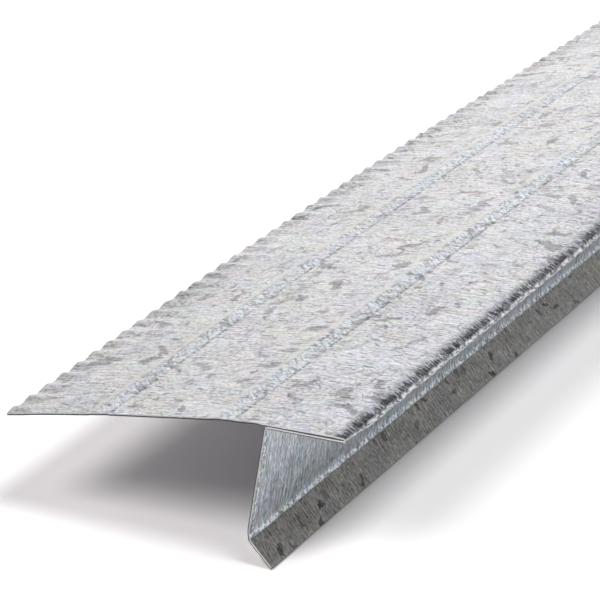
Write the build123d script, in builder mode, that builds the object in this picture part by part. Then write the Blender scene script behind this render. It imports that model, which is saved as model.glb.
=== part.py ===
from build123d import *
import os
from math import cos, radians, sin

# Roof drip edge: one strip of galvanised sheet steel, roll-formed along its whole length.
# Millimetres. Y runs along the strip, X from the roof towards the gutter, Z up. The origin is
# the centre of the bounding box's bottom, on the surface that the kick-out lip stands on.
# The section follows the hidden face of the sheet: from the kick-out tip up the back of the leg,
# out under the nose, round inside the hem, and back under the roof flange to its raw edge.

# Driving dimensions
length = 3048.0             # stock length, 10 ft
overall_width = 63.5        # roof flange, raw edge to nose, 2-1/2 in
sheet = 0.4                 # sheet thickness with its zinc

kick_width = 5.8            # kick-out lip, tip to bend line
kick_heading = 133.5        # direction of the lip from its tip, in degrees from +X towards +Z
leg_height = 21.05          # leg, kick-out bend line to the underside of the nose
leg_heading = 81.8          # the leg leans back towards the wall at its foot
kick_bend_radius = 0.8      # outer radii, on the hidden face
leg_bend_radius = 0.9

nose_width = 15.92          # flange in front of its crown, the bend line just behind the leg
nose_fall = 1.6             # fall of each zone of the flange towards the roof, in degrees
crown_to_leg = 1.5
hem_gap = 0.35              # the hem is open by this much at the nose
pinched_gap = 0.05          # and pressed shut above the leg

shoulder_width = 5.83       # crown to front bead
shoulder_fall = 6.0
middle_width = 23.25        # front bead to back bead
middle_fall = 9.4
edge_fall = 11.2            # back bead to raw edge
bead_width = 4.7            # stiffening beads, pressed upwards
bead_height = 0.2


def step(start, distance, heading):
    """The point at a distance from start, in the direction of heading in degrees."""
    return (
        start[0] + distance * cos(radians(heading)),
        start[1] + distance * sin(radians(heading)),
    )


def roofward(start, distance, fall):
    """The point at a distance from start along a zone of the flange, towards its raw edge."""
    return step(start, distance, 180 + fall)


# Corners of the hidden face, from the kick-out tip upwards
kick_tip = (0.0, 0.0)
kick_bend = step(kick_tip, kick_width, kick_heading)
leg_top = step(kick_bend, leg_height, leg_heading)

# The flange's underside, with the hem under the nose
above_leg = (leg_top[0], leg_top[1] + pinched_gap)
crown = roofward(above_leg, crown_to_leg, nose_fall)
hem_depth = nose_width - sheet - hem_gap / 2
hem_top = roofward(crown, -hem_depth, nose_fall)
hem_bottom = (hem_top[0], hem_top[1] - hem_gap)
hem_front = (hem_top[0] + hem_gap / 2, hem_top[1] - hem_gap / 2)

edge_width = overall_width - nose_width - shoulder_width - middle_width
front_bead = roofward(crown, shoulder_width, shoulder_fall)
back_bead = roofward(front_bead, middle_width, middle_fall)
raw_edge = roofward(back_bead, edge_width, edge_fall)


def bead(centre, fall_in_front, fall_behind):
    """A bead's front foot, the top of its hidden face, and its back foot."""
    front_foot = roofward(centre, -bead_width / 2, fall_in_front)
    back_foot = roofward(centre, bead_width / 2, fall_behind)
    return front_foot, (centre[0], centre[1] + bead_height), back_foot


front_bead_arc = bead(front_bead, shoulder_fall, middle_fall)
back_bead_arc = bead(back_bead, middle_fall, edge_fall)

# The section's place: centred between the raw edge's upper corner and the front of the nose
lowest_x = raw_edge[0] - sheet * sin(radians(edge_fall))
highest_x = hem_front[0] + sheet
section_plane = Plane(
    origin=(-(lowest_x + highest_x) / 2, 0, 0), x_dir=(1, 0, 0), z_dir=(0, -1, 0)
)

os.makedirs("parts", exist_ok=True)

# The strip
with BuildPart() as drip_edge:
    with BuildSketch(section_plane) as section:
        with BuildLine() as outline:
            FilletPolyline(
                kick_tip,
                kick_bend,
                leg_top,
                hem_bottom,
                radius=[kick_bend_radius, leg_bend_radius],
            )
            ThreePointArc(hem_bottom, hem_front, hem_top)
            Polyline(hem_top, crown, front_bead_arc[0])
            ThreePointArc(*front_bead_arc)
            Line(front_bead_arc[2], back_bead_arc[0])
            ThreePointArc(*back_bead_arc)
            Line(back_bead_arc[2], raw_edge)
            offset(amount=sheet, side=Side.RIGHT)
        make_face()
    extrude(amount=length / 2, both=True)

drip_edge.part.label = "drip_edge"
export_step(drip_edge.part, "parts/drip_edge.step")

box = drip_edge.part.bounding_box()
developed_width = section.sketch.area / sheet
print("size", box.size, "lowest", box.min, "highest", box.max)
print("developed width", round(developed_width, 2), "valid", drip_edge.part.is_valid)
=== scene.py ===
from math import atan2, cos, pi, radians, sin, tan

import bpy
import numpy as np
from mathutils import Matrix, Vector


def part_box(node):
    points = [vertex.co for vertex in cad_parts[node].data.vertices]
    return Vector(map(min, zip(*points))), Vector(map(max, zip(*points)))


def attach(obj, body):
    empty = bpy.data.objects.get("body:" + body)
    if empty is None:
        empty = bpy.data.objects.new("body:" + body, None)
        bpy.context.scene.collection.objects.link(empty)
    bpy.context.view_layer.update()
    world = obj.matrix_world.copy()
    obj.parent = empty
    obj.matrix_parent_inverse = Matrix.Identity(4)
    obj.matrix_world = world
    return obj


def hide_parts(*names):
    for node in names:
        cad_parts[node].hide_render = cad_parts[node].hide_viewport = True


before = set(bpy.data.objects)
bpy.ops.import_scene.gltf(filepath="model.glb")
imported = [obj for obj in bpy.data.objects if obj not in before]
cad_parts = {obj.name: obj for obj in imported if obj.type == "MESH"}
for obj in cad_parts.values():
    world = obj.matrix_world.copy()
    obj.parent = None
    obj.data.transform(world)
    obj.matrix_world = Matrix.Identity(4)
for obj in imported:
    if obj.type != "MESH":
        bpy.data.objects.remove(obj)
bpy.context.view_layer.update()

# Roof drip edge: one roll-formed strip of galvanised sheet. Metres, Y along the strip, X from the
# roof towards the gutter, Z up. The sheet's shape is worked out here in millimetres, in a section
# plane whose axes are X and Z, and is laid along the CAD node's box.

strip_low, strip_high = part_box("drip_edge")
MM = 0.001

# ---------------------------------------------------------------- the section's driving sizes, mm
OVERALL_WIDTH = 63.5
SHEET = 0.4
KICK_WIDTH, KICK_HEADING, KICK_RADIUS = 5.8, 133.5, 0.8
LEG_HEIGHT, LEG_HEADING, LEG_RADIUS = 21.05, 81.8, 0.9
NOSE_WIDTH, NOSE_FALL, CROWN_TO_LEG = 15.92, 1.6, 1.5
HEM_GAP, PINCHED_GAP = 0.16, 0.03       # in the hem: at the nose of a cut end, and over the leg
HEM_OPENING = 0.65                      # the nose's gap is wider by this much between the ends
HEM_CLOSED, HEM_OPEN = 0.5, 12.0        # it widens between these distances from each end
NOSE_SHOULDER, NOSE_DROP = 2.2, 0.06    # the top rounds over before the fold, by this much
FOOT_HEIGHT, FOOT_HEADING = 1.7, 97.0   # the leg's lowest part, where the bend begins gently
SHOULDER_WIDTH, SHOULDER_FALL = 6.9, 6.0
MIDDLE_WIDTH, MIDDLE_FALL = 20.75, 9.4
EDGE_FALL = 11.2
BEAD_WIDTH, BEAD_HEIGHT, BEAD_SIDE = 4.7, 0.06, 0.9
FRONT_BEAD, BACK_BEAD = 21.75, 45.0     # from the front of the nose
FOOT_RADIUS, NOSE_RADIUS, CROWN_RADIUS, BEND_RADIUS = 5.0, 7.0, 12.0, 20.0
HEM_ROUNDING = 0.45         # radius of the fold's two arcs, as a share of the distance between corners

# How closely the section is sampled
ARC_STEP = radians(12)
LONG_RUN, SUPPORT = 2.5, 0.35           # a longer straight run has support points this near its ends
BEAD_SAMPLES, CRIMP_SAMPLES = 5, 9      # on each side of a bead, and over the crimped edge
CRIMP_CROWDING = 1.3                    # over 1, the crimped edge's samples crowd towards the edge
SAME_PLACE = 0.004                      # samples closer than this are one
SHARP_ANGLE = radians(40)

# Crimps along the raw edge
SECTIONS = 10               # the strip's mesh is made in equal lengths, one foot each
CRIMPS_PER_SECTION = 59
ROWS_PER_CRIMP = 8
CRIMP_HEIGHT = 0.22         # amplitude at the raw edge
CRIMP_FULL, CRIMP_REACH = 1.5, 7.5      # full height this far in from the edge, and none beyond this
CRIMP_PHASE = 0.377         # first crest, as a share of the pitch
CRIMP_SHARPNESS = 0.16      # second harmonic, which narrows the crests
CRIMP_UNEVENNESS, GOLDEN_ANGLE = 0.12, 2.399    # each crimp's height differs from the next
CRIMP_DRIFT, CRIMP_DRIFT_RATE = 0.08, 0.61      # and changes slowly along the edge

# The flange isn't quite flat along its length: it lifts gently between places 270 mm apart
BOW_HEIGHT, BOW_SPACING = 1.6, 270.0
BOW_VARIATION, BOW_DRIFT = 0.25, 700.0  # some lifts are lower, and how slowly that changes
SPRING_HEIGHT, SPRING_PLACE, SPRING_SPREAD = 0.7, 48.0, 38.0    # and springs up near each cut end

HIDDEN_SIDE = 40.0          # third number of the laid-flat place: 0 on the visible face, this on the other


# ---------------------------------------------------------------- section of the sheet
def step(start, distance, heading):
    """The point at a distance from start along a heading in degrees."""
    return start + distance * np.array([cos(radians(heading)), sin(radians(heading))])


def section_corners():
    """Corners of the sheet's hidden face, from the kick-out tip to the raw edge, and their radii."""
    kick_tip = np.zeros(2)
    kick_bend = step(kick_tip, KICK_WIDTH, KICK_HEADING)
    leg_top = step(kick_bend, LEG_HEIGHT, LEG_HEADING)
    foot = step(kick_bend, FOOT_HEIGHT, FOOT_HEADING)
    crown = step(leg_top + (0, PINCHED_GAP), CROWN_TO_LEG, 180 + NOSE_FALL)
    hem_front = step(crown, NOSE_WIDTH - SHEET, NOSE_FALL)
    hem_top = hem_front - (0, NOSE_DROP)
    hem_bottom = hem_front - (0, HEM_GAP)
    shoulder = step(crown, NOSE_WIDTH - SHEET - NOSE_SHOULDER, NOSE_FALL)
    front_bead = step(crown, SHOULDER_WIDTH, 180 + SHOULDER_FALL)
    back_bead = step(front_bead, MIDDLE_WIDTH, 180 + MIDDLE_FALL)
    edge_width = OVERALL_WIDTH - NOSE_WIDTH - SHOULDER_WIDTH - MIDDLE_WIDTH
    raw_edge = step(back_bead, edge_width, 180 + EDGE_FALL)
    corners = [kick_tip, kick_bend, foot, leg_top, hem_bottom, hem_top, shoulder, crown, front_bead,
               back_bead, raw_edge]
    hem = HEM_ROUNDING * (HEM_GAP - NOSE_DROP)
    radii = [0, KICK_RADIUS, FOOT_RADIUS, LEG_RADIUS, hem, hem, NOSE_RADIUS, CROWN_RADIUS,
             BEND_RADIUS, BEND_RADIUS, 0]
    return corners, radii


def turn_between(a, b, c):
    """Signed turn at b, in radians, positive to the left."""
    before, after = b - a, c - b
    turn = atan2(after[1], after[0]) - atan2(before[1], before[0])
    return (turn + pi) % (2 * pi) - pi


def rounded_path(corners, radii):
    """Points and headings along a path of straight runs joined by tangent arcs."""
    points, headings = [corners[0]], [atan2(*(corners[1] - corners[0])[::-1])]
    for a, b, c, radius in zip(corners, corners[1:], corners[2:], radii[1:]):
        turn = turn_between(a, b, c)
        heading = atan2(*(b - a)[::-1])
        tangent = radius * tan(abs(turn) / 2)
        start = b - tangent * np.array([cos(heading), sin(heading)])
        side = 1 if turn > 0 else -1
        centre = start + side * radius * np.array([-sin(heading), cos(heading)])
        count = max(2, round(abs(turn) / ARC_STEP))
        for i in range(count + 1):
            angle = heading + turn * i / count
            points.append(centre - side * radius * np.array([-sin(angle), cos(angle)]))
            headings.append(angle)
    points.append(corners[-1])
    headings.append(headings[-1])
    return np.array(points), np.unwrap(headings)


corners, radii = section_corners()
path_points, path_headings = rounded_path(corners, radii)
path_steps = np.hypot(*np.diff(path_points, axis=0).T)
path_s = np.concatenate([[0], np.cumsum(path_steps)])
keep = np.concatenate([[True], path_steps > 1e-6])    # without repeated points
path_points, path_headings, path_s = path_points[keep], path_headings[keep], path_s[keep]


def distance_along(point):
    """Distance along the hidden face to the place nearest a corner."""
    return path_s[np.argmin(np.hypot(*(path_points - point).T))]


S_KICK = distance_along(corners[1])
S_LEG_TOP = distance_along(corners[3])
S_NOSE = (distance_along(corners[4]) + distance_along(corners[5])) / 2
S_CROWN = distance_along(corners[7])
S_FRONT_BEAD = S_NOSE + FRONT_BEAD
S_BACK_BEAD = S_NOSE + BACK_BEAD
S_RAW = path_s[-1]


def section_samples():
    """Where the section is sampled: the path's own points, support points beside the bends, and
    close points over the beads and the crimped edge."""
    wanted = list(path_s)
    for a, b in zip(path_s, path_s[1:]):
        if b - a > LONG_RUN:
            wanted += [a + SUPPORT, b - SUPPORT]
    for middle in (S_FRONT_BEAD, S_BACK_BEAD):
        for side in (-1, 1):
            foot = middle + side * BEAD_WIDTH / 2
            wanted += list(foot - side * BEAD_SIDE * np.linspace(0, 1, BEAD_SAMPLES))
    wanted += list(S_RAW - CRIMP_REACH * np.linspace(0, 1, CRIMP_SAMPLES) ** CRIMP_CROWDING)
    s = np.unique(np.round(wanted, 4))
    return s[np.concatenate([[True], np.diff(s) > SAME_PLACE])]


samples = section_samples()
hidden = np.stack([np.interp(samples, path_s, path_points[:, k]) for k in (0, 1)], 1)
heading = np.interp(samples, path_s, path_headings)
normal = np.stack([np.sin(heading), -np.cos(heading)], 1)
lift = np.zeros(len(samples))
for middle in (S_FRONT_BEAD, S_BACK_BEAD):
    inside = (BEAD_WIDTH / 2 - np.abs(samples - middle)) / BEAD_SIDE
    lift += BEAD_HEIGHT * (0.5 - 0.5 * np.cos(pi * np.clip(inside, 0, 1)))

visible = hidden + SHEET * normal
both = np.concatenate([hidden, visible])
shift = np.array([(strip_low.x + strip_high.x) / 2 / MM - (both[:, 0].min() + both[:, 0].max()) / 2,
                  strip_low.z / MM - both[:, 1].min()])


# ---------------------------------------------------------------- the sheet's mesh
def smooth_step(t):
    t = np.clip(t, 0, 1)
    return t * t * (3 - 2 * t)


def crimp(y):
    """Height of the crimps at the raw edge, for distances along the strip."""
    count = y / crimp_pitch - CRIMP_PHASE
    own_height = CRIMP_UNEVENNESS * np.sin(GOLDEN_ANGLE * np.floor(count + 0.5))
    uneven = 1 + own_height + CRIMP_DRIFT * np.sin(CRIMP_DRIFT_RATE * count)
    wave = np.cos(2 * pi * count) + CRIMP_SHARPNESS * np.sin(4 * pi * count)
    return CRIMP_HEIGHT * uneven * wave


def bow(y):
    """Lift of the flange's raw edge, for distances along the strip."""
    wave = BOW_HEIGHT * (0.5 - 0.5 * np.cos(2 * pi * y / BOW_SPACING))
    wave = wave * (1 - BOW_VARIATION + BOW_VARIATION * np.cos(y / BOW_DRIFT))
    from_end = np.minimum(y, strip_length - y)
    return wave + SPRING_HEIGHT * np.exp(-0.5 * ((from_end - SPRING_PLACE) / SPRING_SPREAD) ** 2)


strip_length = (strip_high.y - strip_low.y) / MM
section_length = strip_length / SECTIONS
crimp_pitch = section_length / CRIMPS_PER_SECTION

# How much of each movement every sample takes
crimp_share = 1 - smooth_step((S_RAW - samples - CRIMP_FULL) / (CRIMP_REACH - CRIMP_FULL))
bow_share = np.clip((samples - S_CROWN) / (S_RAW - S_CROWN), 0, 1)
hem_share = np.clip((samples - S_LEG_TOP - 1) / (S_NOSE - S_LEG_TOP - 1), 0, 1)
hem_share = hem_share * (samples < S_NOSE)


def hem_opening(y):
    """How far the hem's lower layer hangs open at the nose, for distances along the strip."""
    from_end = np.minimum(y, strip_length - y)
    return HEM_OPENING * smooth_step((from_end - HEM_CLOSED) / (HEM_OPEN - HEM_CLOSED))


def sheet_rows(y):
    """The closed outline of the sheet at each distance y: hidden face out, visible face back."""
    push = lift + crimp_share * crimp(y)[:, None]
    rise = bow_share * bow(y)[:, None] - hem_share * hem_opening(y)[:, None]
    faces = []
    for face in (hidden, visible):
        place = face + push[..., None] * normal + np.stack([np.zeros_like(rise), rise], 2)
        faces.append(place + shift)
    return np.concatenate([faces[0], faces[1][:, ::-1]], 1)


def sheet_quads(rows, around):
    """Faces of a closed length, and which of them are cut metal: the raw edges and the two ends."""
    number = np.arange(rows * around).reshape(rows, around)
    here, there = number[:-1], number[1:]
    sides = np.stack([here, np.roll(here, -1, 1), np.roll(there, -1, 1), there], -1).reshape(-1, 4)
    half = around // 2
    cut_side = np.zeros((rows - 1, around), bool)
    cut_side[:, [half - 1, around - 1]] = True
    i = np.arange(half - 1)
    near = np.stack([i, around - 1 - i, around - 2 - i, i + 1], -1)
    far = near[:, ::-1] + (rows - 1) * around
    cut = np.concatenate([cut_side.ravel(), np.ones(2 * len(near), bool)])
    return np.concatenate([sides, near, far]), cut


def write_laid_flat(mesh, y):
    """Stores every point's place on the laid-flat sheet, which the materials are drawn in."""
    laid = np.empty((len(y), 2 * len(samples), 3), np.float32)
    laid[..., 0] = np.concatenate([samples, samples[::-1]])
    laid[..., 1] = y[:, None]
    laid[..., 2] = np.repeat([HIDDEN_SIDE, 0.0], len(samples))
    attribute = mesh.attributes.new("laid_flat", "FLOAT_VECTOR", "POINT")
    attribute.data.foreach_set("vector", laid.ravel())


def make_section(index, materials):
    """One length of the strip as a closed mesh that meets its neighbours exactly."""
    rows = CRIMPS_PER_SECTION * ROWS_PER_CRIMP + 1
    y = section_length * (index + np.linspace(0, 1, rows))
    outline = sheet_rows(y)
    around = outline.shape[1]
    co = np.empty((rows, around, 3))
    co[..., 0], co[..., 2] = outline[..., 0], outline[..., 1]
    co[..., 1] = (y + strip_low.y / MM)[:, None]
    quads, cut = sheet_quads(rows, around)

    mesh = bpy.data.meshes.new(f"drip_edge_length_{index + 1:02d}")
    mesh.from_pydata((co.reshape(-1, 3) * MM).tolist(), [], quads.tolist())
    mesh.polygons.foreach_set("material_index", cut.astype(np.int32))
    mesh.polygons.foreach_set("use_smooth", np.ones(len(quads), bool))
    for material in materials:
        mesh.materials.append(material)
    write_laid_flat(mesh, y)
    mesh.set_sharp_from_angle(angle=SHARP_ANGLE)
    mesh.update()
    piece = bpy.data.objects.new(mesh.name, mesh)
    bpy.context.scene.collection.objects.link(piece)
    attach(piece, "root")
    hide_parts("drip_edge")


# ---------------------------------------------------------------- materials
FOLD_REACH = 0.007          # the fold's face is this far from its middle, in the laid-flat place
FOLD_STRETCH, FOLD_SLANT = 100.0, 90.0
BUMP_DEPTH = 0.12 * MM


class Graph:
    """Short ways to add nodes to one material."""

    def __init__(self, name):
        self.material = bpy.data.materials.new(name)
        self.material.use_nodes = True
        self.tree = self.material.node_tree
        self.shader = self.tree.nodes["Principled BSDF"]

    def put(self, socket, value):
        if isinstance(value, bpy.types.NodeSocket):
            self.tree.links.new(value, socket)
        else:
            socket.default_value = value

    def maths(self, operation, a, b=0.0):
        node = self.tree.nodes.new("ShaderNodeMath")
        node.operation = operation
        self.put(node.inputs[0], a)
        self.put(node.inputs[1], b)
        return node.outputs[0]

    def add(self, a, b):
        return self.maths("ADD", a, b)

    def times(self, a, b):
        return self.maths("MULTIPLY", a, b)

    def less(self, a, b):
        return self.maths("SUBTRACT", a, b)

    def most(self, *values):
        result = values[0]
        for value in values[1:]:
            result = self.maths("MAXIMUM", result, value)
        return result

    def swing(self, field, amount):
        """A noise field about zero, times an amount."""
        return self.times(self.less(field, 0.5), amount)

    def darken(self, light, mask, depth):
        return self.times(light, self.less(1.0, self.times(mask, depth)))

    def ramp(self, value, low, high, out_low=0.0, out_high=1.0):
        """Goes smoothly from one number to another while the value goes from low to high."""
        node = self.tree.nodes.new("ShaderNodeMapRange")
        node.interpolation_type = "SMOOTHSTEP"
        self.put(node.inputs["Value"], value)
        node.inputs["From Min"].default_value = low
        node.inputs["From Max"].default_value = high
        self.put(node.inputs["To Min"], out_low)
        self.put(node.inputs["To Max"], out_high)
        return node.outputs["Result"]

    def band(self, value, low, high, soft):
        """1 between low and high, and 0 outside."""
        rise = self.ramp(value, low - soft, low + soft)
        return self.times(rise, self.ramp(value, high + soft, high - soft))

    def noise(self, vector, rate, seed=0, detail=2.0, roughness=0.6, slant=0.0, distortion=0.0):
        """Noise with rates per mm across and along the strip, whose streaks slant by degrees."""
        turned = self.tree.nodes.new("ShaderNodeMapping")
        turned.vector_type = "TEXTURE"
        self.put(turned.inputs["Vector"], vector)
        turned.inputs["Location"].default_value = (7.3 * seed, 3.1 * seed, 0)
        turned.inputs["Rotation"].default_value = (0, 0, radians(slant))
        turned.inputs["Scale"].default_value = (1 / rate[0], 1 / rate[1], 1)
        node = self.tree.nodes.new("ShaderNodeTexNoise")
        self.put(node.inputs["Vector"], turned.outputs["Vector"])
        node.inputs["Scale"].default_value = 1.0
        node.inputs["Detail"].default_value = detail
        node.inputs["Roughness"].default_value = roughness
        node.inputs["Distortion"].default_value = distortion
        return node.outputs["Fac"]

    def colour_noise(self, vector, rate, seed, detail, amount):
        """Coloured noise about zero: three numbers, each times its own amount."""
        field = self.noise(vector, rate, seed, detail).node.outputs["Color"]
        field = self.vector_maths("SUBTRACT", field, (0.5, 0.5, 0.5))
        return self.vector_maths("MULTIPLY", field, amount)

    def flecks(self, vector, spacing, length, width, share, seed):
        """Shard-like marks, each turned its own way, at most one in each cell of an uneven grid. The
        share is how many cells have one. Also gives a random number for each cell."""
        rate, reach = 1.5 / length, 1.1 * length        # of the noise that makes the outlines ragged
        ragged = self.colour_noise(vector, (rate, rate), seed, 3.0, (reach, reach, 0.0))
        place = self.vector_maths("ADD", vector, ragged)
        place = self.vector_maths("ADD", place, (17.0 * seed, 29.0 * seed, 0.0))
        place = self.vector_maths("MULTIPLY", place, (1 / spacing, 1 / spacing, 0.0))
        cells = self.tree.nodes.new("ShaderNodeTexVoronoi")
        cells.voronoi_dimensions = "2D"
        cells.inputs["Scale"].default_value = 1.0
        self.put(cells.inputs["Vector"], place)
        chance = self.tree.nodes.new("ShaderNodeSeparateColor")
        self.put(chance.inputs[0], cells.outputs["Color"])
        turn = self.tree.nodes.new("ShaderNodeVectorRotate")
        turn.rotation_type = "Z_AXIS"
        self.put(turn.inputs["Vector"], self.vector_maths("SUBTRACT", place, cells.outputs["Position"]))
        self.put(turn.inputs["Angle"], self.times(chance.outputs[0], 2 * pi))
        axes = (2 * spacing / length, 2 * spacing / width, 0.0)
        radius = self.tree.nodes.new("ShaderNodeVectorMath")
        radius.operation = "LENGTH"
        self.put(radius.inputs[0], self.vector_maths("MULTIPLY", turn.outputs[0], axes))
        mark = self.ramp(radius.outputs["Value"], 1.05, 0.85)
        mark = self.times(mark, self.maths("LESS_THAN", chance.outputs[1], share))
        return mark, chance.outputs[2]

    def mix(self, factor, a, b, blend="MIX"):
        node = self.tree.nodes.new("ShaderNodeMix")
        node.data_type = "RGBA"
        node.blend_type = blend
        self.put(node.inputs["Factor"], factor)
        colours = [socket for socket in node.inputs if socket.type == "RGBA"]
        for socket, value in zip(colours, (a, b)):
            self.put(socket, value if isinstance(value, bpy.types.NodeSocket) else (*value, 1.0))
        return [socket for socket in node.outputs if socket.type == "RGBA"][0]

    def vector_maths(self, operation, a, b):
        node = self.tree.nodes.new("ShaderNodeVectorMath")
        node.operation = operation
        self.put(node.inputs[0], a)
        self.put(node.inputs[1], b)
        return node.outputs[0]

    def combine(self, node_type, values):
        node = self.tree.nodes.new(node_type)
        for name, value in values.items():
            self.put(node.inputs[name], value)
        return node.outputs[0]

    def grey(self, value):
        return self.combine("ShaderNodeCombineColor", {"Red": value, "Green": value, "Blue": value})

    def laid_flat(self):
        """The laid-flat place: the vector, s from the kick-out tip, y along the strip, and the side."""
        attribute = self.tree.nodes.new("ShaderNodeAttribute")
        attribute.attribute_name = "laid_flat"
        split = self.tree.nodes.new("ShaderNodeSeparateXYZ")
        self.put(split.inputs[0], attribute.outputs["Vector"])
        return attribute.outputs["Vector"], *split.outputs


class Zones:
    """Masks for the zones of the laid-flat sheet."""

    def __init__(self, g, s, y):
        d = self.from_nose = g.less(s, S_NOSE)

        def stripe(bead, low, high, soft):
            """A stripe beside or over a bead, between two distances from its middle."""
            return g.band(d, bead + low, bead + high, soft)

        self.kick = g.ramp(s, S_KICK + 0.3, S_KICK - 0.3)
        self.kick_line = g.band(s, S_KICK - 0.05, S_KICK + 0.2, 0.15)
        # the band above the kick-out's bend, which gets painted highlight ticks
        self.kick_bend = g.band(s, S_KICK + 0.45, S_KICK + 1.25, 0.35)
        self.leg = g.band(s, S_KICK, S_LEG_TOP, 0.3)
        from_end = g.maths("MINIMUM", y, g.less(strip_length, y))
        self.leg_end = g.times(g.ramp(from_end, 2.2, 0.5), self.leg)

        # the nose's fold, where painted highlight replaces the brightness
        self.fold = g.times(g.ramp(d, -0.14, -0.10), g.ramp(d, 0.055, 0.015))
        past_fold = g.ramp(d, 0.015, 0.055)
        self.nose = g.times(past_fold, g.ramp(d, 2.6, 0.2))
        # how far the nose's hazy darkening reaches, which is partly painted shade
        self.nose_haze_and_shade = g.times(past_fold, g.ramp(d, 4.0, 1.0))
        self.nose_core = g.ramp(d, 1.3, 0.4)
        self.front = g.times(g.ramp(d, -0.2, 0.2), g.ramp(d, 19.0, 15.0))

        self.beads = g.most(stripe(FRONT_BEAD, -2.2, 1.1, 0.25), stripe(BACK_BEAD, -2.2, 1.0, 0.25))
        # painted highlight: smooth cream bands on the beads' back slopes
        self.bead_back_highlight = g.most(stripe(FRONT_BEAD, 1.3, 2.5, 0.3), stripe(BACK_BEAD, 1.3, 2.4, 0.3))
        # painted shade: dotted dark lines along the beads' feet, standing for the beads' own shading
        front_feet_shade = g.most(stripe(FRONT_BEAD, -2.45, -2.05, 0.2),
                            g.times(stripe(FRONT_BEAD, 0.5, 0.7, 0.2), 0.5))
        back_feet_shade = g.most(stripe(BACK_BEAD, -2.4, -1.9, 0.25),
                           g.times(stripe(BACK_BEAD, 1.1, 1.3, 0.2), 0.6))
        self.bead_feet_shade = g.most(front_feet_shade, back_feet_shade)


def bent_place(g, laid, s, zones):
    """The laid-flat place with a waviness that bends every line, and with the lines of the leg and the
    kick-out leaning."""
    wave = g.colour_noise(laid, (0.11, 0.11), 0, 1.0, (0.0, 1.0, 0.0))
    reach = g.ramp(s, S_LEG_TOP - 1, S_NOSE, 0.8, 4.0)
    lean = g.less(g.times(zones.leg, 0.06), g.times(zones.kick, 0.12))
    offset = g.combine("ShaderNodeCombineXYZ", {"Y": g.times(lean, g.less(s, S_KICK))})
    stretch = g.combine("ShaderNodeCombineXYZ", {"Y": reach})
    leaning = g.vector_maths("ADD", laid, offset)
    return g.vector_maths("ADD", leaning, g.vector_maths("MULTIPLY", wave, stretch))


def flange_light(g, laid, bent):
    """Brightness of the flange: fine ripples across the strip, with grey shard-like flecks. Also gives
    the grain and where the flecks are."""
    grain = g.noise(bent, (0.17, 0.72), 0, 4.0, 0.65)
    crepe = g.noise(bent, (0.40, 1.50), 1, 2.0, 0.6)
    pepper = g.noise(bent, (1.5, 1.9), 2, 1.0)
    patch = g.noise(laid, (0.07, 0.07), 3)
    light = g.add(g.add(g.swing(grain, 0.85), g.swing(crepe, 1.6)),
                  g.add(g.swing(pepper, 1.8), g.swing(patch, 0.6)))
    light = g.maths("MINIMUM", g.times(light, 1.15), g.times(light, 0.65))     # dark swings go further
    light = g.add(light, 1.145)
    dashes = g.noise(bent, (0.24, 2.0), 4, 1.0, 0.6, 0, 0.3)
    light = g.darken(light, g.ramp(dashes, 0.41, 0.37), 0.22)
    stroke = g.maths("ABSOLUTE", g.less(g.noise(laid, (0.15, 0.19), 5, 2.0, 0.5, 0, 0.7), 0.5))
    stroke_patches = g.ramp(g.noise(laid, (0.13, 0.15), 6, 1.0), 0.55, 0.58)
    stroke = g.times(g.ramp(stroke, 0.020, 0.008), stroke_patches)
    light = g.darken(light, stroke, 0.34)
    large, large_chance = g.flecks(laid, 6.6, 6.4, 1.8, 0.50, 7)
    small, small_chance = g.flecks(laid, 2.8, 2.4, 0.75, 0.42, 8)
    light = g.darken(light, g.times(large, g.ramp(large_chance, 0.0, 1.0, 0.20, 0.48)), 1.0)
    light = g.darken(light, g.times(small, g.ramp(small_chance, 0.0, 1.0, 0.18, 0.48)), 1.0)
    return light, grain, g.most(large, small)


def leg_light(g, bent):
    """Brightness of the leg: close striations over soft blots."""
    lines = g.noise(bent, (0.14, 1.7), 9, 3.0, 0.70)
    pepper = g.noise(bent, (0.8, 2.2), 10, 1.0)
    light = g.add(1.01, g.add(g.swing(lines, 2.2), g.swing(pepper, 2.1)))
    blot = g.ramp(g.noise(bent, (0.22, 0.26), 11, 3.0), 0.55, 0.62)
    return g.darken(light, blot, 0.26)


def kick_light(g, laid, bent):
    """Brightness of the kick-out: close straight striations and small dark ovals."""
    lines = g.noise(bent, (0.25, 2.0), 12, 2.0, 0.7)
    pepper = g.noise(bent, (1.2, 2.4), 13, 1.0)
    light = g.add(0.98, g.add(g.swing(lines, 1.5), g.swing(pepper, 1.9)))
    light = g.add(light, g.swing(g.noise(laid, (0.3, 0.2), 14), 0.8))
    oval, chance = g.flecks(laid, 3.4, 2.5, 1.1, 0.42, 15)
    return g.darken(light, g.times(oval, g.ramp(chance, 0.0, 1.0, 0.35, 0.70)), 1.0)


def bead_light(g, laid, zones, light):
    """Slanting ticks over the beads, dotted painted shade at their feet, and smooth cream bands of painted
    highlight behind them.
    """
    ticks = g.noise(laid, (0.42, 1.6), 16, 1.0, 0.6, 52)
    clusters = g.ramp(g.noise(laid, (0.1, 0.16), 17, 1.0), 0.35, 0.62, 0.35, 1.0)
    tick = g.times(g.ramp(ticks, 0.36, 0.54, -0.42, 0.07), g.times(clusters, zones.beads))
    light = g.times(light, g.add(g.less(1.0, g.times(zones.beads, 0.01)), tick))
    # painted shade along the beads' feet
    dots = g.times(g.ramp(g.noise(laid, (0.6, 1.0), 18, 1.0), 0.42, 0.56),
                   g.ramp(g.noise(laid, (0.05, 0.12), 19, 1.0), 0.38, 0.60, 0.35, 1.0))
    light = g.darken(light, g.times(zones.bead_feet_shade, dots), 0.62)
    # painted highlight: the cream bands behind the beads are brightened a little
    return g.times(light, g.add(1.0, g.times(zones.bead_back_highlight, 0.05))), ticks


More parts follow.
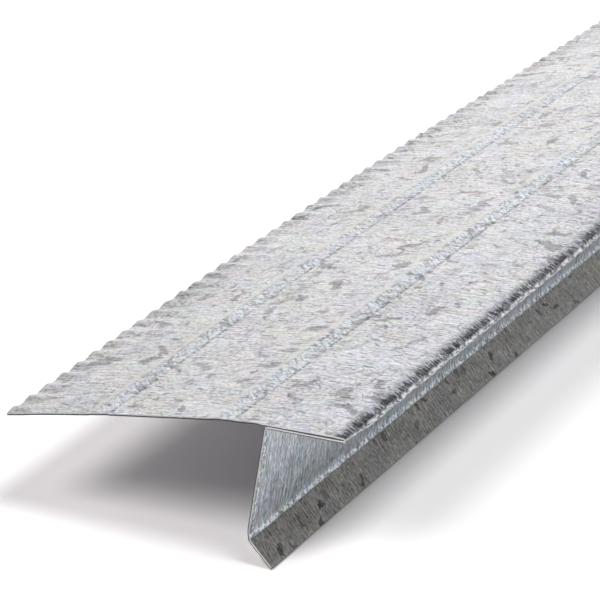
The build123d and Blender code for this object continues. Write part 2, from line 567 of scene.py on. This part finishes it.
def nose_craze_and_shade(g, laid, zones):
    """How dark the nose is: crazed coating in short slanting ticks, in clusters, over a hazy darkening. It
    is partly painted shade, standing for the shading of a more rounded nose.
    """
    ticks = g.noise(laid, (0.35, 2.4), 20, 3.0, 0.7, 40)
    clusters = g.swing(g.noise(laid, (0.05, 0.25), 21, 2.0), 2.3)
    share = g.add(g.ramp(ticks, 0.38, 0.62, -0.10, 1.30), g.add(clusters, g.times(zones.nose_core, 0.45)))
    share = g.add(share, g.swing(g.noise(laid, (1.1, 2.4), 27, 1.0), 1.5))
    marks = g.most(g.times(g.times(share, zones.nose), 0.75), 0.0)
    # the hazy darkening near the nose, partly painted shade
    haze_and_shade = g.times(g.times(g.add(1.0, clusters), zones.nose_haze_and_shade), 0.13)
    return g.maths("MINIMUM", g.add(marks, g.most(haze_and_shade, 0.0)), 0.94)


def fold_highlight_patches(g, zones, y):
    """Brightness of the nose's fold: painted highlight, in patches with slanting ends. The straight
    between the fold's two arcs is only 0.01 mm wide in the laid-flat place, so its height is stretched a
    hundred times."""
    height = g.maths("MINIMUM", g.most(zones.from_nose, -FOLD_REACH), FOLD_REACH)
    along = g.add(y, g.times(height, FOLD_SLANT))
    place = g.combine("ShaderNodeCombineXYZ", {"X": g.times(height, FOLD_STRETCH), "Y": along})
    patch = g.noise(place, (0.9, 0.75), 26, 3.0, 0.65)
    shade = g.swing(g.noise(place, (0.8, 0.25), 29, 1.0), 1.2)
    return g.most(g.add(g.ramp(patch, 0.42, 0.60, 0.28, 1.25), shade), 0.12)


def bend_and_end_light(g, laid, zones, light):
    """Painted highlight in bright slanting ticks above the kick-out's bend, dark dots along the bend, and
    speckle beside the leg's cut end."""
    # painted highlight: bright slanting ticks standing for the glints above the kick-out's bend
    bend_highlight_ticks = g.noise(laid, (0.6, 1.6), 22, 2.0, 0.6, -49)
    bend_highlight_ticks = g.times(zones.kick_bend, g.ramp(bend_highlight_ticks, 0.36, 0.62, -0.34, 0.95))
    light = g.times(light, g.add(1.0, bend_highlight_ticks))
    dots = g.ramp(g.noise(laid, (0.5, 1.1), 28, 1.0), 0.44, 0.54)
    light = g.darken(light, g.times(zones.kick_line, dots), 0.65)
    speckle = g.ramp(g.noise(laid, (1.3, 1.3), 23, 1.0), 0.40, 0.56, -0.50, 0.35)
    return g.times(light, g.add(1.0, g.times(zones.leg_end, speckle)))


def sheet_light(g, laid, bent, y, zones):
    """Brightness of the whole sheet. Also gives what its colour, roughness and bump follow: the grain,
    the flecks, the bead ticks and the nose's crazing with its painted shade."""
    flange, grain, flecked = flange_light(g, laid, bent)
    # painted highlight: behind the beads the flange's texture is evened out towards one brightness
    flange = g.add(flange, g.times(g.times(g.less(1.02, flange), 0.65), zones.bead_back_highlight))
    light = g.mix(zones.leg, g.grey(flange), g.grey(leg_light(g, bent)))
    light = g.mix(zones.kick, light, g.grey(kick_light(g, laid, bent)))
    split = g.tree.nodes.new("ShaderNodeSeparateColor")
    g.put(split.inputs[0], light)
    light, ticks = bead_light(g, laid, zones, split.outputs[0])
    craze_and_shade = nose_craze_and_shade(g, laid, zones)
    # the nose's crazing, which is partly painted shade where a rounder nose would be shaded
    light = g.darken(light, craze_and_shade, 1.0)
    # painted highlight: over the fold the brightness is replaced by bright patches
    light = g.add(light, g.times(g.less(fold_highlight_patches(g, zones, y), light), zones.fold))
    return bend_and_end_light(g, laid, zones, light), grain, flecked, ticks, craze_and_shade


def sheet_colour(g, laid, bent, zones, flecked):
    """Colour of the zinc in each zone, with a faint tint that changes from place to place. The kick-out's
    olive-brown tint is a painted reflection of a warm dark room, and the cream behind the beads is painted
    highlight.
    """
    colour = g.mix(flecked, (0.485, 0.483, 0.485), (0.490, 0.475, 0.495))
    for zone, zone_colour in ((zones.leg, (0.460, 0.500, 0.540)),
                              # painted reflection: the kick-out's olive-brown tint stands for a warm dark
                              # room reflected in it
                              (zones.kick, (0.475, 0.470, 0.445)),
                              (g.times(zones.front, 0.7), (0.490, 0.493, 0.512)),
                              (zones.nose, (0.465, 0.485, 0.535)),
                              (zones.fold, (0.480, 0.500, 0.520)),
                              (zones.beads, (0.480, 0.500, 0.525)),
                              # cream tint of the painted highlight behind the beads
                              (zones.bead_back_highlight, (0.515, 0.505, 0.490))):
        colour = g.mix(zone, colour, zone_colour)
    tint = g.vector_maths("ADD", g.colour_noise(laid, (0.14, 0.14), 24, 2.0, (0.20, 0.10, 0.26)),
                          g.colour_noise(bent, (0.5, 0.9), 25, 1.0, (0.22, 0.14, 0.26)))
    tint = g.vector_maths("ADD", tint, (1.0, 1.0, 1.0))
    return g.mix(1.0, colour, tint, "MULTIPLY")


def make_galvanised():
    """The zinc-coated faces."""
    g = Graph("galvanised_sheet")
    laid, s, y, _ = g.laid_flat()
    zones = Zones(g, s, y)
    bent = bent_place(g, laid, s, zones)
    light, grain, flecked, ticks, craze_and_shade = sheet_light(g, laid, bent, y, zones)
    colour = g.mix(1.0, sheet_colour(g, laid, bent, zones, flecked), g.grey(light), "MULTIPLY")
    g.put(g.shader.inputs["Base Color"], colour)
    g.shader.inputs["Metallic"].default_value = 1.0
    roughness = g.add(g.add(0.4, g.swing(grain, 0.3)), g.times(craze_and_shade, 0.1))
    g.put(g.shader.inputs["Roughness"], roughness)

    height = g.add(g.times(grain, 1.3), g.times(ticks, zones.beads))
    height = g.less(height, g.times(craze_and_shade, 0.5))
    bump = g.tree.nodes.new("ShaderNodeBump")
    g.put(bump.inputs["Height"], height)
    bump.inputs["Distance"].default_value = BUMP_DEPTH
    bump.inputs["Strength"].default_value = 1.0
    g.put(g.shader.inputs["Normal"], bump.outputs["Normal"])
    return g.material


def make_cut_edge():
    """Sheared ends: bright next to the visible face, with a dark fracture zone next to the hidden one.
    Part of
    the dark is painted shade: along the gap inside the hem, and at the foot of the hem's lower layer.
    """
    g = Graph("cut_edge")
    laid, s, _, side = g.laid_flat()
    shear = g.noise(laid, (1.2, 1.2), 0, 2.0)
    ragged = g.add(side, g.swing(g.noise(laid, (0.9, 0.9), 1, 2.0), 26.0))
    raw = g.most(g.ramp(s, 0.1, 0.05), g.ramp(s, S_RAW - 0.1, S_RAW - 0.05))
    lower_hem = g.band(s, S_LEG_TOP, S_NOSE, 0.3)
    bright = g.most(g.ramp(s, S_KICK + 0.2, S_KICK - 0.2), g.band(s, S_LEG_TOP, S_CROWN - 0.5, 0.8))
    clean = g.mix(bright, (0.42, 0.43, 0.45), (0.58, 0.585, 0.60))
    behind_hem = g.ramp(s, S_CROWN - 1.0, S_CROWN)
    # dark next to the hidden face: a fracture zone, and painted shade where it borders the gap inside the
    # hem
    torn_and_shaded = g.most(g.ramp(ragged, 22.0, 29.0), g.times(g.ramp(ragged, 14.0, 22.0), behind_hem))
    # painted shade: below the hem's lower layer its cut is darkened next to its visible face
    torn_and_shaded = g.add(torn_and_shaded, g.times(g.less(g.ramp(ragged, 16.0, 9.0), torn_and_shaded), lower_hem))
    colour = g.mix(torn_and_shaded, clean, (0.05, 0.048, 0.046))
    colour = g.mix(raw, colour, (0.12, 0.12, 0.12))
    shade = g.grey(g.ramp(shear, 0.3, 0.7, 0.6, 1.2))
    g.put(g.shader.inputs["Base Color"], g.mix(1.0, colour, shade, "MULTIPLY"))
    g.shader.inputs["Metallic"].default_value = 1.0
    g.put(g.shader.inputs["Roughness"], g.ramp(shear, 0.3, 0.7, 0.5, 0.35))
    return g.material


def plain(name, colour, roughness):
    """An even material, for the floor."""
    g = Graph(name)
    g.shader.inputs["Base Color"].default_value = (*colour, 1)
    g.shader.inputs["Roughness"].default_value = roughness
    return g.material


galvanised, cut_steel = make_galvanised(), make_cut_edge()
for index in range(SECTIONS):
    make_section(index, [galvanised, cut_steel])

# ---------------------------------------------------------------- floor, light and camera
FLOOR_REACH = 40.0
FLOOR_COLOUR, FLOOR_ROUGHNESS = (0.875, 0.848, 0.862), 0.8
FLOOR_DROP = 0.1 * MM       # the strip stands this far above the floor, so that no faces coincide

# Direction of each lamp's light source, its strength, its spread in degrees and its colour
SOFTBOXES = {
    "left_softbox": ((-0.32, -0.75, 1.0), 2.4, 30, (1.0, 0.985, 0.965)),
    "right_softbox": ((0.44, 0.0, 1.0), 2.7, 30, (0.975, 1.0, 0.99)),
}

# The room: dim, with a broad white backdrop behind the strip on its roof side, made of glows with a
# direction, a strength and how quickly each falls away
GLOWS = (
    ((-0.49, 0.82, 0.30), 1.25, 10),
    ((-0.1, 0.98, 0.12), 1.2, 10),
    ((0.38, 0.83, 0.40), 0.12, 6),
    ((-1.0, 0.0, 0.2), 0.5, 4),
)
ROOM_COLOUR = (0.99, 0.985, 1.0)

CAMERA_AZIMUTH, CAMERA_ELEVATION = radians(27.16), radians(21.33)
EYE_FROM_TIP = Vector((0.19918, -0.37777, 0.21428))     # from the near end of the kick-out's edge
LENS, SENSOR_WIDTH = 177.0, 36.0
NEAREST_SEEN, FURTHEST_SEEN = 0.01, 50.0


def make_floor():
    mesh = bpy.data.meshes.new("floor")
    ends = [(-1, -1), (1, -1), (1, 1), (-1, 1)]
    mesh.from_pydata([(x * FLOOR_REACH, y * FLOOR_REACH, 0) for x, y in ends], [], [(0, 1, 2, 3)])
    mesh.materials.append(plain("floor", FLOOR_COLOUR, FLOOR_ROUGHNESS))
    floor = bpy.data.objects.new("floor", mesh)
    floor.location.z = strip_low.z - FLOOR_DROP
    bpy.context.scene.collection.objects.link(floor)


def sun(name, towards, strength, spread, colour):
    """A distant soft lamp whose light comes from a direction."""
    data = bpy.data.lights.new(name, "SUN")
    data.energy = strength
    data.angle = radians(spread)
    data.color = colour
    lamp = bpy.data.objects.new(name, data)
    lamp.rotation_mode = "QUATERNION"
    lamp.rotation_quaternion = Vector(towards).to_track_quat("Z", "Y")
    bpy.context.scene.collection.objects.link(lamp)


def glow(sky, direction, towards, strength, power):
    """Brightness of the room that falls away smoothly from a direction."""
    toward = sky.nodes.new("ShaderNodeVectorMath")
    toward.operation = "DOT_PRODUCT"
    toward.inputs[1].default_value = Vector(towards).normalized()
    sky.links.new(direction, toward.inputs[0])
    value = toward.outputs["Value"]
    for operation, number in (("MAXIMUM", 0.0), ("POWER", power), ("MULTIPLY", strength)):
        node = sky.nodes.new("ShaderNodeMath")
        node.operation = operation
        node.inputs[1].default_value = number
        sky.links.new(value, node.inputs[0])
        value = node.outputs[0]
    return value


def make_room():
    world = bpy.data.worlds.new("studio")
    world.use_nodes = True
    sky = world.node_tree
    direction = sky.nodes.new("ShaderNodeTexCoord").outputs["Generated"]
    values = [glow(sky, direction, *numbers) for numbers in GLOWS]
    total = values[0]
    for value in values[1:]:
        add = sky.nodes.new("ShaderNodeMath")
        sky.links.new(total, add.inputs[0])
        sky.links.new(value, add.inputs[1])
        total = add.outputs[0]
    sky.links.new(total, sky.nodes["Background"].inputs["Strength"])
    sky.nodes["Background"].inputs["Color"].default_value = (*ROOM_COLOUR, 1)
    bpy.context.scene.world = world


def make_camera():
    tip = Vector((shift[0] * MM, strip_low.y, strip_low.z))
    level = cos(CAMERA_ELEVATION)
    back = Vector((sin(CAMERA_AZIMUTH) * level, -cos(CAMERA_AZIMUTH) * level, sin(CAMERA_ELEVATION)))
    data = bpy.data.cameras.new("camera")
    data.lens = LENS
    data.sensor_width = SENSOR_WIDTH
    data.clip_start, data.clip_end = NEAREST_SEEN, FURTHEST_SEEN
    camera = bpy.data.objects.new("camera", data)
    camera.location = tip + EYE_FROM_TIP
    camera.rotation_mode = "QUATERNION"
    camera.rotation_quaternion = (-back).to_track_quat("-Z", "Y")
    bpy.context.scene.collection.objects.link(camera)
    bpy.context.scene.camera = camera


make_floor()
for name, numbers in SOFTBOXES.items():
    sun(name, *numbers)
make_room()
make_camera()
bpy.context.scene.view_settings.view_transform = "Standard"
